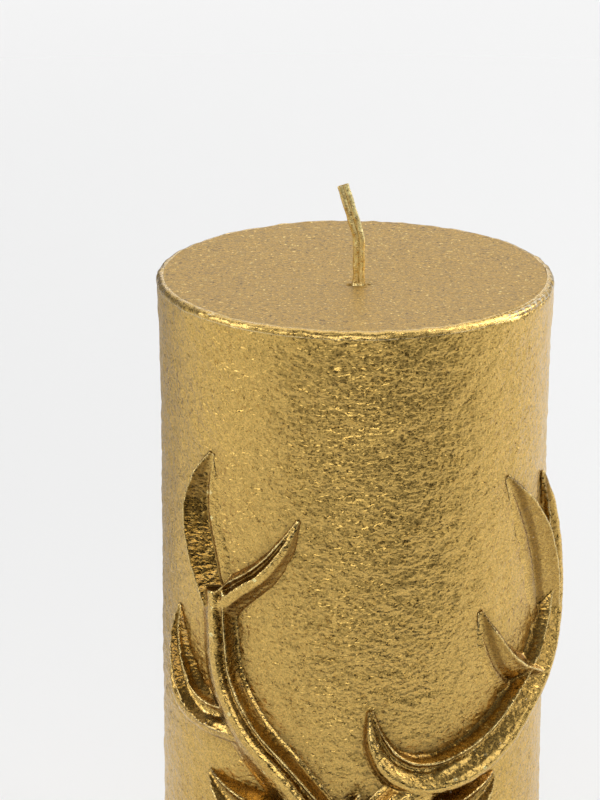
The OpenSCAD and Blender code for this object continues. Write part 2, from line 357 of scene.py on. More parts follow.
def gold_finish(
    name,
    deep,
    base,
    bright,
    *,
    roughness,
    wrinkle_depth,
    flecks,
    metal=1.0,
    wrinkle=WRINKLE,
    grain_depth=0.05 * MM,
    fold_detail=1,
    uneven=0.0,
    fleck_size=FLECK,
    fleck_share=0.0,
    cavity=0.8,
    painted_relief_shade=0.0,
    crest=0.0,
    sparkle=0.5,
    chips=0.0,
    coat=0.2,
):
    """Metallic lacquer: mottled and wrinkled, with mica sparkle and flecks, wear and painted highlight on
    crests, and painted shade in hollows.

    Deep, base and bright are its colours: deep for darker mottle and painted shade, base on flats, bright
    for light flecks and the painted highlight on crests. The painted relief shade darkens what its attribute
    marks, and chips bare the wax.
    """
    finish, tree, shader, place = new_finish(name)
    broad = cloud(tree, place, 9 * MM, 3)
    mottle = cloud(tree, place, 0.7 * MM, 4, 0.6)
    speck = cloud(tree, place, fleck_size, 3)
    mica = cells(tree, place, MICA)

    tone = blended(tree, spread(tree, mottle, 0.30, 0.52, 0.35, 1.0), solid(deep), solid(base))
    tone = blended(tree, spread(tree, broad, 0.35, 0.65, 0.0, 0.55), tone, solid(base))
    # Painted shade in creases, where pointiness is low, and wear with a painted highlight along crests,
    # where it is high.
    if crest:
        point = node(tree, "ShaderNodeNewGeometry").outputs["Pointiness"]
        hollow = spread(tree, point, 0.495, 0.44, 0.0, crest)
        tone = blended(tree, hollow, tone, darker(deep, 0.45))
        crest_wear_and_highlight = spread(tree, point, 0.515, 0.58, 0.0, crest)
        tone = blended(tree, crest_wear_and_highlight, tone, solid(bright))
    # Painted shade: the colour darkens where ambient occlusion finds walls close by.
    shelter = node(tree, "ShaderNodeAmbientOcclusion", {"Distance": SHELTER}, samples=6).outputs["AO"]
    shade = spread(tree, shelter, 0.92, 0.35, 0.0, cavity)
    tone = blended(tree, shade, tone, darker(deep, 0.55))
    # Painted shade on the relief's steep walls and low toes, as marked by the attribute.
    if painted_relief_shade:
        marked = node(tree, "ShaderNodeAttribute", attribute_name=RELIEF_SHADE_ATTRIBUTE).outputs["Fac"]
        relief_shaded = spread(tree, marked, 0.0, 1.0, 0.0, painted_relief_shade)
        tone = blended(tree, relief_shaded, tone, darker(deep, 0.6))
    dark = spread(tree, speck, 0.36 + fleck_share, 0.29 + fleck_share, 0.0, flecks)
    tone = blended(tree, dark, tone, solid(looks().fleck_dark))
    light = spread(tree, speck, 0.66 - fleck_share, 0.73 - fleck_share, 0.0, flecks)
    tone = blended(tree, light, tone, solid(bright))
    glint = spread(tree, mica, 0.0, 1.0, 1 - 0.35 * sparkle, 1 + 0.35 * sparkle)
    glint_rgb = node(tree, "ShaderNodeCombineColor", {0: glint, 1: glint, 2: glint}).outputs[0]
    tone = blended(tree, 1.0, tone, glint_rgb, "MULTIPLY")

    rough = spread(tree, mottle, 0.3, 0.7, roughness - 0.08, roughness + 0.1)
    rough = sums(tree, "ADD", rough, spread(tree, mica, 0.0, 1.0, -0.06, 0.06))
    along = node(tree, "ShaderNodeMapping", {"Vector": place, "Scale": (1, 1, 1.45)}).outputs[0]
    folds = cloud(tree, along, wrinkle, fold_detail, 0.4, 0.45)
    if uneven:
        strong = spread(tree, cloud(tree, place, 14 * MM, 2), 0.35, 0.62, 1 - uneven, 1.0)
        folds = sums(tree, "MULTIPLY", folds, strong)
    bump = raised(tree, folds, wrinkle_depth)
    bump = raised(tree, cloud(tree, place, 0.2 * MM, 3), grain_depth, bump)

    if chips:
        bare = spread(tree, cloud(tree, place, 0.8 * MM, 3, 1.2), 0.735, 0.75, 0.0, chips)
        tone = blended(tree, bare, tone, solid(looks().wax))
        tree.links.new(spread(tree, bare, 0.0, 1.0, metal, 0.05), shader.inputs["Metallic"])
    else:
        shader.inputs["Metallic"].default_value = metal
    tree.links.new(tone, shader.inputs["Base Color"])
    tree.links.new(rough, shader.inputs["Roughness"])
    tree.links.new(bump, shader.inputs["Normal"])
    shader.inputs["Coat Weight"].default_value = coat
    shader.inputs["Coat Roughness"].default_value = 0.22
    return finish


def side_finish():
    """The thick, orange-peel lacquer of the side."""
    tones = (looks().deep_gold_and_shade, looks().side_gold, looks().bright_gold)
    return gold_finish(
        "side_gold_lacquer",
        *tones,
        roughness=0.33,
        wrinkle=1.1 * MM,
        wrinkle_depth=0.38 * MM,
        grain_depth=0.02 * MM,
        uneven=0.4,
        flecks=0.2,
        sparkle=0.7,
    )


def rim_finish():
    """The smoother, glossier lacquer over the top edge, with a painted highlight along its crest and painted
    shade in its creases.
    """
    tones = (looks().deep_gold_and_shade, looks().side_gold, looks().rim_highlight_gold)
    return gold_finish(
        "rim_gold_lacquer",
        *tones,
        roughness=0.26,
        wrinkle_depth=0.1 * MM,
        flecks=0.2,
        crest=0.6,
        coat=0.5,
    )


def top_finish():
    """The flat, grainy lacquer of the top."""
    shaded = [value * 0.72 for value in looks().top_gold]
    tones = (shaded, looks().top_gold, looks().bright_gold)
    return gold_finish(
        "top_gold_lacquer",
        *tones,
        roughness=0.55,
        metal=0.8,
        wrinkle=1.6 * MM,
        wrinkle_depth=0.13 * MM,
        grain_depth=0.05 * MM,
        fold_detail=3,
        fleck_size=0.7 * MM,
        fleck_share=0.025,
        flecks=0.85,
        sparkle=1.0,
        coat=0.06,
    )


def relief_finish():
    """The thin lacquer of the relief: wear and a painted highlight on its crests, painted shade in its
    creases and on its walls and toes.
    """
    tones = (looks().deep_gold_and_shade, looks().side_gold, looks().bright_gold)
    return gold_finish(
        "relief_gold_lacquer",
        *tones,
        roughness=0.25,
        wrinkle=0.8 * MM,
        wrinkle_depth=0.12 * MM,
        grain_depth=0.015 * MM,
        flecks=0.12,
        crest=0.9,
        sparkle=0.9,
        chips=0.8,
        painted_relief_shade=0.92,
    )


def wick_finish():
    """The bright lacquer of the wick."""
    tones = (looks().side_gold, looks().bright_gold, looks().bright_gold)
    return gold_finish(
        "wick_gold_lacquer",
        *tones,
        roughness=0.3,
        wrinkle=0.35 * MM,
        wrinkle_depth=0.04 * MM,
        flecks=0.06,
        cavity=0.6,
        crest=0.9,
        sparkle=0.4,
    )


def wax_finish():
    """Cast wax: translucent, faintly mottled, with small bubbles and a soft sheen."""
    finish, tree, shader, place = new_finish("cast_wax")
    wax = looks().wax
    broad = cloud(tree, place, 12 * MM, 3)
    warm = solid([wax[0], wax[1] * 0.93, wax[2] * 0.82])
    tone = blended(tree, spread(tree, broad, 0.3, 0.7), solid(wax), warm)
    bubbles = spread(tree, cloud(tree, place, 0.9 * MM, 1), 0.70, 0.76)
    tone = blended(tree, bubbles, tone, darker(wax, 0.8))
    bump = raised(tree, cloud(tree, place, 2.5 * MM, 4), 0.06 * MM)
    bump = raised(tree, bubbles, -0.05 * MM, bump)
    tree.links.new(tone, shader.inputs["Base Color"])
    tree.links.new(bump, shader.inputs["Normal"])
    tree.links.new(spread(tree, broad, 0.3, 0.7, 0.38, 0.52), shader.inputs["Roughness"])
    shader.inputs["Subsurface Weight"].default_value = 0.35
    shader.inputs["Subsurface Radius"].default_value = (1.0, 0.6, 0.35)
    shader.inputs["Subsurface Scale"].default_value = 2.5 * MM
    return finish


def cotton_finish():
    """Waxed cotton: fine yarn lines with a little gold rubbed into them."""
    finish, tree, shader, place = new_finish("waxed_cotton")
    yarn = cloud(tree, place, 0.12 * MM, 3, 0.5)
    cotton = looks().cotton
    tone = blended(tree, spread(tree, yarn, 0.3, 0.7), darker(cotton, 0.55), solid(cotton))
    gilt = spread(tree, cloud(tree, place, 0.5 * MM, 2), 0.5, 0.6, 0.0, 0.6)
    tone = blended(tree, gilt, tone, solid(looks().side_gold))
    tree.links.new(tone, shader.inputs["Base Color"])
    tree.links.new(raised(tree, yarn, 0.03 * MM), shader.inputs["Normal"])
    shader.inputs["Roughness"].default_value = 0.7
    return finish


def tin_finish():
    """Stamped tinplate: brushed lines and a few stains."""
    finish, tree, shader, place = new_finish("tinplate")
    stretch = node(tree, "ShaderNodeMapping", {"Vector": place, "Scale": (1, 14, 1)}).outputs[0]
    brushed = cloud(tree, stretch, 1.2 * MM, 4)
    stain_and_shade = cloud(tree, place, 3 * MM, 3)
    tin = looks().tin
    tone = blended(tree, spread(tree, stain_and_shade, 0.35, 0.7), solid(tin), darker(tin, 0.7))
    tree.links.new(tone, shader.inputs["Base Color"])
    tree.links.new(raised(tree, brushed, 0.01 * MM), shader.inputs["Normal"])
    tree.links.new(spread(tree, stain_and_shade, 0.3, 0.7, 0.25, 0.42), shader.inputs["Roughness"])
    shader.inputs["Metallic"].default_value = 1.0
    return finish


# ---------- the gold skin ----------


def girth(place):
    """Distance round the candle from the front, positive towards +X."""
    return math.atan2(place.x, -place.y) * sizes().body_radius


def side_radius(z):
    """Radius of the candle's side at a height."""
    share = max(0.0, 1 - (TOP - z) / sizes().flare_height)
    return sizes().body_radius + (sizes().rim_radius - sizes().body_radius) * share**2


def edge_radius(s):
    """Rounding of the top edge, which is fuller on the front right."""
    wander = 0.22 * MM * noise.noise(Vector((s / (4 * MM), 3, 0)))
    return sizes().edge_round + wander + 0.95 * MM * swell(s, *RIGHT_SHOULDER)


def skin_lift(place, calm):
    """How far the lacquer stands off its ideal surface: long waves, folds and wrinkles."""
    waves = noise.noise(place / (11 * MM))
    folds = noise.noise(Vector((place.x, place.y, place.z * 1.5)) / (3.4 * MM) + Vector((7, 1, 4)))
    wrinkles = noise.noise(Vector((place.x, place.y, place.z * 1.4)) / (1.7 * MM) + Vector((2, 9, 5)))
    return 0.12 * MM * waves + calm * (0.15 * MM * folds + 0.13 * MM * wrinkles)


def skin_point(place):
    """Takes a point of a square-edged pillar to the real skin: edge rounded, shoulder eased, wrinkled."""
    r = math.hypot(place.x, place.y)
    z = place.z
    s = girth(place)
    rounding = edge_radius(s)
    up = z - (TOP - rounding)
    out = r - (sizes().rim_radius - rounding)
    across, along = (1.0, 0.0) if out > 0 else (0.0, 1.0)
    if up > 0 and out > 0:
        length = math.hypot(up, out)
        across, along = out / length, up / length
        r = sizes().rim_radius - rounding + rounding * across
        z = TOP - rounding + rounding * along
    right = swell(s, *RIGHT_SHOULDER)
    if out > 0:
        ease = ramp(z, TOP - 5 * MM, TOP) ** 2
        r -= 0.26 * MM * right * ease
        r -= 0.22 * MM * swell(s, 56 * MM, 24 * MM) * ramp(z, 84 * MM, 110 * MM)
    calm = 1 - 0.8 * right * ramp(z, TOP - 5 * MM, TOP - 3.4 * MM) * (1 if out > -1.5 * MM else 0)
    if out <= 0:
        calm *= 0.35
    lift = skin_lift(place, calm)
    lift += 0.08 * MM * (2 * across * along) ** 2
    if out <= 0:
        from_wick = math.hypot(place.x - WICK_X, place.y - WICK_Y)
        z -= 0.24 * MM * (1 - ramp(from_wick, 3 * MM, 26 * MM))
        lift *= 0.45
    scale = (r + lift * across) / max(math.hypot(place.x, place.y), MM)
    return Vector((place.x * scale, place.y * scale, z + lift * along))


class CANDLE_OT_side_skin(bpy.types.Operator):
    """Builds the gold lacquer on the candle's side"""

    bl_idname = "candle.side_skin"
    bl_label = "Side skin"

    def execute(self, context):
        film = sizes().film
        rows, steps = 262, 350
        outside = [(side_radius(z), z) for _, z in line((0, SIDE_FOOT), (0, SIDE_HEAD), rows)]
        inside = [(side_radius(z) - film, z) for _, z in line((0, SIDE_HEAD), (0, SIDE_FOOT), 5)]
        skin = lathe("side_skin", outside + inside, steps)

        def rule(place):
            if math.hypot(place.x, place.y) < side_radius(place.z) - film / 2:
                return place
            return skin_point(place)

        shaped(skin, rule)
        smooth(skin)
        attach(skin, side_finish(), "side_gold", "side_film")
        return {"FINISHED"}


class CANDLE_OT_rim_skin(bpy.types.Operator):
    """Builds the lacquer that turns over the top edge"""

    bl_idname = "candle.rim_skin"
    bl_label = "Rim skin"

    def execute(self, context):
        radius = sizes().rim_radius
        low = SIDE_HEAD
        inner = radius - (TOP - low)
        outline = [(side_radius(low), low)]
        outline += line((radius, low + 0.12 * MM), (radius, TOP), 12)
        outline += line((radius, TOP), (inner, TOP), 12)[1:]
        core = TOP - low - sizes().film
        outline += [
            (inner + core * math.cos(math.radians(a)), low + core * math.sin(math.radians(a)))
            for a in (90, 72, 54, 36, 18, 0)
        ]
        rim = lathe("rim_skin", outline, 900)

        def rule(place):
            r = math.hypot(place.x, place.y)
            if math.hypot(r - inner, place.z - low) < core + 0.02 * MM:
                return place
            return skin_point(place)

        shaped(rim, rule)
        smooth(rim)
        attach(rim, rim_finish(), "side_gold", "rim_film")
        return {"FINISHED"}


class CANDLE_OT_top_skin(bpy.types.Operator):
    """Builds the lacquer on the top, dished a little towards the wick"""

    bl_idname = "candle.top_skin"
    bl_label = "Top skin"

    def execute(self, context):
        outer = sizes().rim_radius - (TOP - SIDE_HEAD)
        hole = PIT
        under = TOP - sizes().film
        outline = line((outer, TOP), (hole, TOP), 120) + line((hole, under), (outer, under), 6)
        top = lathe("top_skin", outline, 360)

        def rule(place):
            r = math.hypot(place.x, place.y)
            share = (outer - r) / (outer - hole)
            moved = Vector((place.x + WICK_X * share, place.y + WICK_Y * share, place.z))
            if place.z < TOP - 0.1 * MM:
                return moved
            moved = skin_point(moved)
            moved.z -= 0.12 * MM * swell(r, hole, 1.2 * MM)
            return moved

        shaped(top, rule)
        smooth(top)
        attach(top, top_finish(), "top_gold", "top_film")
        return {"FINISHED"}


# ---------- the wick ----------


def wick_line(run):
    """Middle of the wick at a run from its foot, and how far it leans there."""
    straight = TOP + sizes().wick_rise - WICK_FOOT
    if run <= straight:
        return Vector((WICK_X, WICK_Y, WICK_FOOT + run)), 0.0
    turn = min((run - straight) / WICK_BEND, sizes().wick_lean)
    middle = Vector((WICK_X - WICK_BEND, WICK_Y, WICK_FOOT + straight))
    middle += WICK_BEND * Vector((math.cos(turn), 0, math.sin(turn)))
    past = run - straight - WICK_BEND * sizes().wick_lean
    if past > 0:
        middle += past * Vector((-math.sin(turn), 0, math.cos(turn)))
    return middle, turn


def wick_length():
    """Length of the gilded wick along its middle."""
    bend = WICK_BEND * sizes().wick_lean
    return TOP + sizes().wick_rise - WICK_FOOT + bend + sizes().wick_lean_length


class CANDLE_OT_wick(bpy.types.Operator):
    """Builds the gilded wick, its cut cotton end and the wax that seals it in"""

    bl_idname = "candle.wick"
    bl_label = "Wick and seal"

    def execute(self, context):
        self.make_skin()
        self.make_cotton()
        self.make_seal()
        return {"FINISHED"}

    def make_skin(self):
        """The gilding: two lobes side by side, plaited, flared at the foot and open at the end."""
        length = wick_length() + 0.12 * MM
        cup = 0.3 * MM
        outline = [(0, 0)] + line((MM, 0), (MM, length), 150)
        outline += [(0.84 * MM, length), (0.8 * MM, length - cup), (0, length - cup)]
        skin = lathe("wick_skin", outline, 64, ring=False)
        lobe_gap, lobe = 0.43 * MM, 0.61 * MM

        def rule(place):
            turn = math.atan2(place.y, place.x)
            fill = math.hypot(place.x, place.y) / MM
            run = place.z
            reach = lobe_gap * abs(math.cos(turn))
            reach += math.sqrt(lobe**2 - (lobe_gap * math.sin(turn)) ** 2)
            side = 1 if math.cos(turn) > 0 else -1
            plait = math.sin(run / (0.62 * MM) + side * 2.4 * math.sin(turn))
            reach *= 1 + 0.035 * plait * fill
            where = Vector((math.cos(turn) * 2, math.sin(turn) * 2, run / (0.9 * MM)))
            reach += 0.045 * MM * noise.noise(where)
            above = run - (TOP - 0.5 * MM - WICK_FOOT)
            reach += 0.22 * MM * math.exp(-max(above, 0) / (0.55 * MM))
            middle, lean = wick_line(run)
            across = fill * reach * math.cos(turn)
            deep = fill * reach * math.sin(turn)
            return middle + Vector((across * math.cos(lean), deep, across * math.sin(lean)))

        shaped(skin, rule)
        smooth(skin)
        attach(skin, wick_finish(), "side_gold", "wick_film")

    def make_cotton(self):
        """Cut yarn ends, twisted round each other, in the open end of the gilding."""
        length = wick_length()
        yarns = []
        for lobe in (-1, 1):
            for i in range(5):
                angle = 2 * math.pi * i / 5
                spread_out = 0.27 * MM if i else 0.0
                side = line((0.17 * MM, 0), (0.16 * MM, 2.2 * MM), 16)
                outline = [(0, 0), *side, (0, 2.24 * MM)]
                yarn = lathe(f"yarn_{lobe}_{i}", outline, 12, ring=False)

                def rule(place, lobe=lobe, angle=angle, spread_out=spread_out):
                    twist = angle + place.z / (0.9 * MM)
                    across = place.x + lobe * 0.4 * MM + spread_out * math.cos(twist)
                    deep = place.y + spread_out * math.sin(twist)
                    run = length - 2.2 * MM + place.z * (1 - 0.02 * (lobe + 1))
                    middle, lean = wick_line(run)
                    return middle + Vector((across * math.cos(lean), deep, across * math.sin(lean)))

                shaped(yarn, rule)
                yarns.append(yarn)
        cotton = joined("wick_cotton", yarns)
        smooth(cotton)
        attach(cotton, cotton_finish(), "wick_cotton", "wick_braid")

    def make_seal(self):
        """Gilded wax round the wick's foot, with a pit on its left and a bead on its right."""
        rim, floor = TOP - 0.37 * MM, TOP - 1.5 * MM
        outline = [(0, floor), (1.5 * MM, floor)] + line((2.28 * MM, rim), (0, rim), 26)
        seal = lathe("wick_seal_skin", outline, 72, ring=False)

        def rule(place):
            r = math.hypot(place.x, place.y)
            z = place.z
            if z > rim - 0.01 * MM:
                pit = math.hypot(place.x + 1.5 * MM, place.y + 0.05 * MM)
                z -= 0.9 * MM * swell(pit, 0, 0.9 * MM)
                hollow = math.hypot(place.x - 1.65 * MM, place.y - 0.15 * MM)
                z -= 0.55 * MM * swell(hollow, 0, 0.6 * MM)
                bead = math.hypot(place.x - 1.15 * MM, place.y + 0.45 * MM)
                z += 0.4 * MM * swell(bead, 0, 0.5 * MM)
                z += 0.06 * MM * noise.noise(place / (0.5 * MM)) * swell(r, 0, 2.28 * MM)
            return Vector((place.x + WICK_X, place.y + WICK_Y, z))

        shaped(seal, rule)
        smooth(seal)
        attach(seal, top_finish(), "top_gold", "wick_seal")


# ---------- relief, laid out flat ----------
# The bench is flat: X runs round the girth, Y is the height above the base and Z stands off the candle.
# Places are in millimetres. A section is drawn across its ridge, in units of the ridge's half width, with
# the left of the ridge's course at -X.
# A plain rounded ridge

ROUND = [(-1.35, 0.02), (-1.12, 0.10), (-0.98, 0.30), (-0.86, 0.62), (-0.62, 0.90), (-0.28, 1.03)]
ROUND += [(0.28, 1.03), (0.62, 0.90), (0.86, 0.62), (0.98, 0.30), (1.12, 0.10), (1.35, 0.02)]
# A sharp crest on the left edge, and a hollow that falls away from it to a crease
SCOOP = [(-1.7, 0.02), (-1.3, 0.28), (-1.04, 0.72), (-0.92, 1.06), (-0.82, 1.16), (-0.71, 1.04)]
SCOOP += [(-0.45, 0.76), (-0.1, 0.46), (0.25, 0.18), (0.46, -0.02), (0.58, 0.1), (0.78, 0.2)]
SCOOP += [(1.1, 0.13), (1.8, -0.07)]
# A crest, a narrow gutter and a second crest on the left, and a broad flank on the right
GUTTER = [(-1.3, 0.02), (-1.05, 0.2), (-0.96, 0.85), (-0.88, 1.05), (-0.78, 0.9), (-0.64, 0.55)]
GUTTER += [(-0.5, 0.5), (-0.34, 0.8), (-0.2, 1.02), (0.1, 0.98), (0.5, 0.82), (0.85, 0.42), (1.3, 0.03)]
# Crests on both edges, and a hollow between
DISH = [(-1.3, 0.02), (-1.06, 0.2), (-0.97, 0.85), (-0.87, 1.05), (-0.74, 0.86), (-0.4, 0.38)]
DISH += [(0.1, 0.26), (0.5, 0.42), (0.76, 0.9), (0.87, 0.98), (0.98, 0.45), (1.3, 0.03)]
# A broad flank on the left, and a gutter and a crest at the steep right edge
FLANK = [(-1.8, 0.02), (-1.35, 0.2), (-0.95, 0.48), (-0.55, 0.78), (-0.15, 0.98), (0.2, 1.02), (0.42, 0.9)]
FLANK += [(0.56, 0.66), (0.66, 0.62), (0.8, 0.86), (0.89, 0.84), (0.96, 0.4), (1.08, 0.1), (1.3, 0.02)]
# A thin crest on the left, a hollow band, and a full round bulge on the right
BULGE = [(-1.25, 0.02), (-1.1, 0.2), (-1.03, 0.6), (-0.96, 0.8), (-0.87, 0.7), (-0.7, 0.46), (-0.5, 0.45)]
BULGE += [(-0.22, 0.72), (0.05, 0.98), (0.35, 1.1), (0.62, 1.02), (0.85, 0.74), (0.98, 0.4)]
BULGE += [(1.1, 0.12), (1.35, 0.02)]
# Several fine hairs side by side
STRAND = [(-1.2, 0.02), (-1.0, 0.35), (-0.82, 0.66), (-0.66, 0.7), (-0.52, 0.58), (-0.34, 0.86)]
STRAND += [(-0.14, 0.98), (0.06, 0.78), (0.26, 0.92), (0.44, 0.86), (0.58, 0.6), (0.76, 0.66)]
STRAND += [(0.92, 0.42), (1.2, 0.02)]
# What closes every section below the bench
KEEL = [(1.2, -0.5), (-1.2, -0.5)]
STAND_OFF = 1.15  # how much higher the ridges stand than their sections are drawn
SEAT = -0.12 * MM  # how far the castings sink into the lacquer


def flipped(section):
    """The same section, left to right."""
    return [(-x, y) for x, y in reversed(section)]


def ridge(stations, section=ROUND, lift=0.0):
    """A ridge through stations (x, y, width), or (x, y, width, lift), with the given section."""
    clear_selection()
    bpy.ops.curve.primitive_bezier_curve_add(location=(0, 0, 0))
    edge = bpy.context.object
    outline = section + KEEL
    edge.data.splines.clear()
    spline = edge.data.splines.new("POLY")
    spline.points.add(len(outline) - 1)
    for point, (x, y) in zip(spline.points, outline, strict=True):
        point.co = (x * MM, y * STAND_OFF * MM, 0, 1)
    spline.use_cyclic_u = True

    clear_selection()
    bpy.ops.curve.primitive_bezier_curve_add(location=(0, 0, 0))
    path = bpy.context.object
    curve = path.data
    curve.dimensions = "3D"
    curve.twist_mode = "Z_UP"
    curve.resolution_u = 10
    curve.bevel_mode = "OBJECT"
    curve.bevel_object = edge
    curve.use_fill_caps = True
    spline = curve.splines[0]
    spline.bezier_points.add(len(stations) - 2)
    for point, station in zip(spline.bezier_points, stations, strict=True):
        own_lift = station[3] if len(station) > 3 else 0
        point.co = (station[0] * MM, station[1] * MM, (lift + own_lift) * MM)
        point.handle_left_type = "AUTO"
        point.handle_right_type = "AUTO"
        point.radius = station[2] / 2
    pick(path)
    bpy.ops.object.convert(target="MESH")
    made = bpy.context.object
    bpy.data.objects.remove(edge)
    closed_up(made)
    return made


def ball(x, y, z, size, turn=0.0):
    """An egg of the given half sizes on the bench."""
    clear_selection()
    place = (x * MM, y * MM, z * MM)
    bpy.ops.mesh.primitive_uv_sphere_add(segments=24, ring_count=14, radius=MM, location=place)
    egg = bpy.context.object
    egg.scale = size if isinstance(size, (tuple, list)) else (size, size, size)
    egg.rotation_euler = (0, 0, math.radians(turn))
    settle(egg)
    return egg


def limb(start, end, steps=6):
    """Eggs from one (x, y, z, size) to another, to be melted together."""
    return [ball(*place) for place in line(start, end, steps)]


def melted(name, parts, soften, grain=None):
    """Melts closed parts into one casting, and softens it."""
    casting = joined(name, parts)
    worked(casting, "REMESH", mode="VOXEL", voxel_size=grain or sizes().grain)
    worked(casting, "SMOOTH", factor=0.5, iterations=soften)
    return casting


def around(casting):
    """Levels the underside, stands the flat casting up and bends it round the candle."""
    shaped(casting, lambda place: Vector((place.x, place.y, max(place.z, SEAT))))
    radius = sizes().body_radius

    def bent(place):
        turn = place.x / radius
        reach = radius + place.z
        return Vector((reach * math.sin(turn), -reach * math.cos(turn), place.y))

    shaped(casting, bent)


def finished_relief(casting, finish, node_name, stain_and_shade=0.7):
    """Marks where painted shade lies, then bends the casting round the candle and finishes it.

    The last argument is how much of the painted shade lies on steep walls; the less there is, the more lies
    along their toes.
    """
    painted_relief_shade = casting.data.attributes.new(RELIEF_SHADE_ATTRIBUTE, "FLOAT", "POINT")
    for vertex, value in zip(casting.data.vertices, painted_relief_shade.data, strict=True):
        # Painted shade: steep walls, and the toes just off the candle's side.
        wall = ramp(1 - vertex.normal.z, 0.07, 0.34)
        toe = swell(vertex.co.z, 0.8 * MM, 0.75 * MM)
        value.value = min(1.0, stain_and_shade * wall + 1.5 * (1 - stain_and_shade) * toe)
    around(casting)
    pick(casting)
    bpy.ops.object.shade_smooth()
    attach(casting, finish, "relief_gold", node_name)


class CANDLE_OT_antlers(bpy.types.Operator):
    """Builds both antlers, each one casting of beam, tines and burr"""

    bl_idname = "candle.antlers"
    bl_label = "Antlers"

    # Each ridge: its stations from foot to tip, and its section
    LEFT = [
        (
            [(-4.5, 60, 6.4), (-12, 69, 6.5), (-19, 76.5, 6.4), (-23.5, 85, 6), (-24.6, 93, 5.6)]
            + [(-25, 101, 5.2)],
            FLANK,
        ),
        (
            [(-24.8, 98, 4.4), (-27.6, 107, 5.4), (-29.2, 114.5, 5.0), (-28.6, 120.5, 3.4)]
            + [(-27.2, 125, 0.8)],
            SCOOP,
        ),
        (
            [(-24, 98, 4.6), (-20.5, 101.5, 4.6), (-15.7, 105.5, 4.1), (-12, 110.5, 2.9), (-9.4, 116, 0.7)],
            GUTTER,
        ),
        ([(-21, 77, 4.8), (-30, 78.5, 5.0), (-34.5, 83.5, 4.5), (-36.7, 89, 3.1), (-37.4, 94, 0.7)], DISH),
        ([(-19, 75, 4.4), (-30, 75, 3.7), (-36, 76.5, 3), (-39.4, 79.5, 2.2), (-41, 84, 0.6)], ROUND),
    ]
    RIGHT = [
        (
            [(3, 81.5, 1.1), (4.3, 75, 3.9), (7.6, 70.4, 5.6), (12.5, 68.6, 6.4), (19, 69.5, 6.9)]
            + [(26.5, 73, 6.8), (32.5, 77.5, 6.5), (39, 82.5, 6.4), (44.5, 89, 6.2), (47.3, 96, 5.8)]
            + [(47.6, 103, 4.9), (46.8, 110, 3.4), (44.4, 117, 0.7)],
            BULGE,
        ),
        ([(4.5, 60, 6.4), (9, 64.5, 6.4), (15, 68, 5.4), (21, 70.4, 4.4)], ROUND),
        ([(37, 80, 5.4), (30.2, 84.5, 5.0), (26.2, 90.5, 3.6), (23.9, 97, 0.8)], flipped(SCOOP)),
        (
            [(44.5, 88, 5.2), (41.8, 98, 5.8), (38.6, 106.5, 5.2), (34.7, 113.5, 3.8), (30, 120.2, 0.8)],
            flipped(SCOOP),
        ),
    ]

    def execute(self, context):
        finish = relief_finish()
        self.antler("left_antler_cast", self.LEFT, -1, finish, "left_antler")
        self.antler("right_antler_cast", self.RIGHT, 1, finish, "right_antler")
        return {"FINISHED"}

    def antler(self, name, tines, side, finish, node_name):
        """One antler, on the side given as -1 for the left or 1 for the right."""
        parts = [ridge(stations, section) for stations, section in tines]
        pearls = 9
        turn = math.radians(40)
        for i in range(pearls):  # the burr, across the beam's foot
            angle = math.pi * i / (pearls - 1)
            across = 3.9 * math.cos(angle)
            x = side * (5.6 + across * math.cos(turn))
            y = 61.2 + across * math.sin(turn)
            parts.append(ball(x, y, 0.5 + 3.3 * math.sin(angle), (0.85, 1.0, 0.85), turn=side * 40))
        casting = melted(name, parts, soften=1)
        roughen(casting, 2.6 * MM, 0.3 * MM, 2)
        roughen(casting, 0.75 * MM, 0.12 * MM, 1)
        finished_relief(casting, finish, node_name, stain_and_shade=1.0 if side < 0 else 0.5)


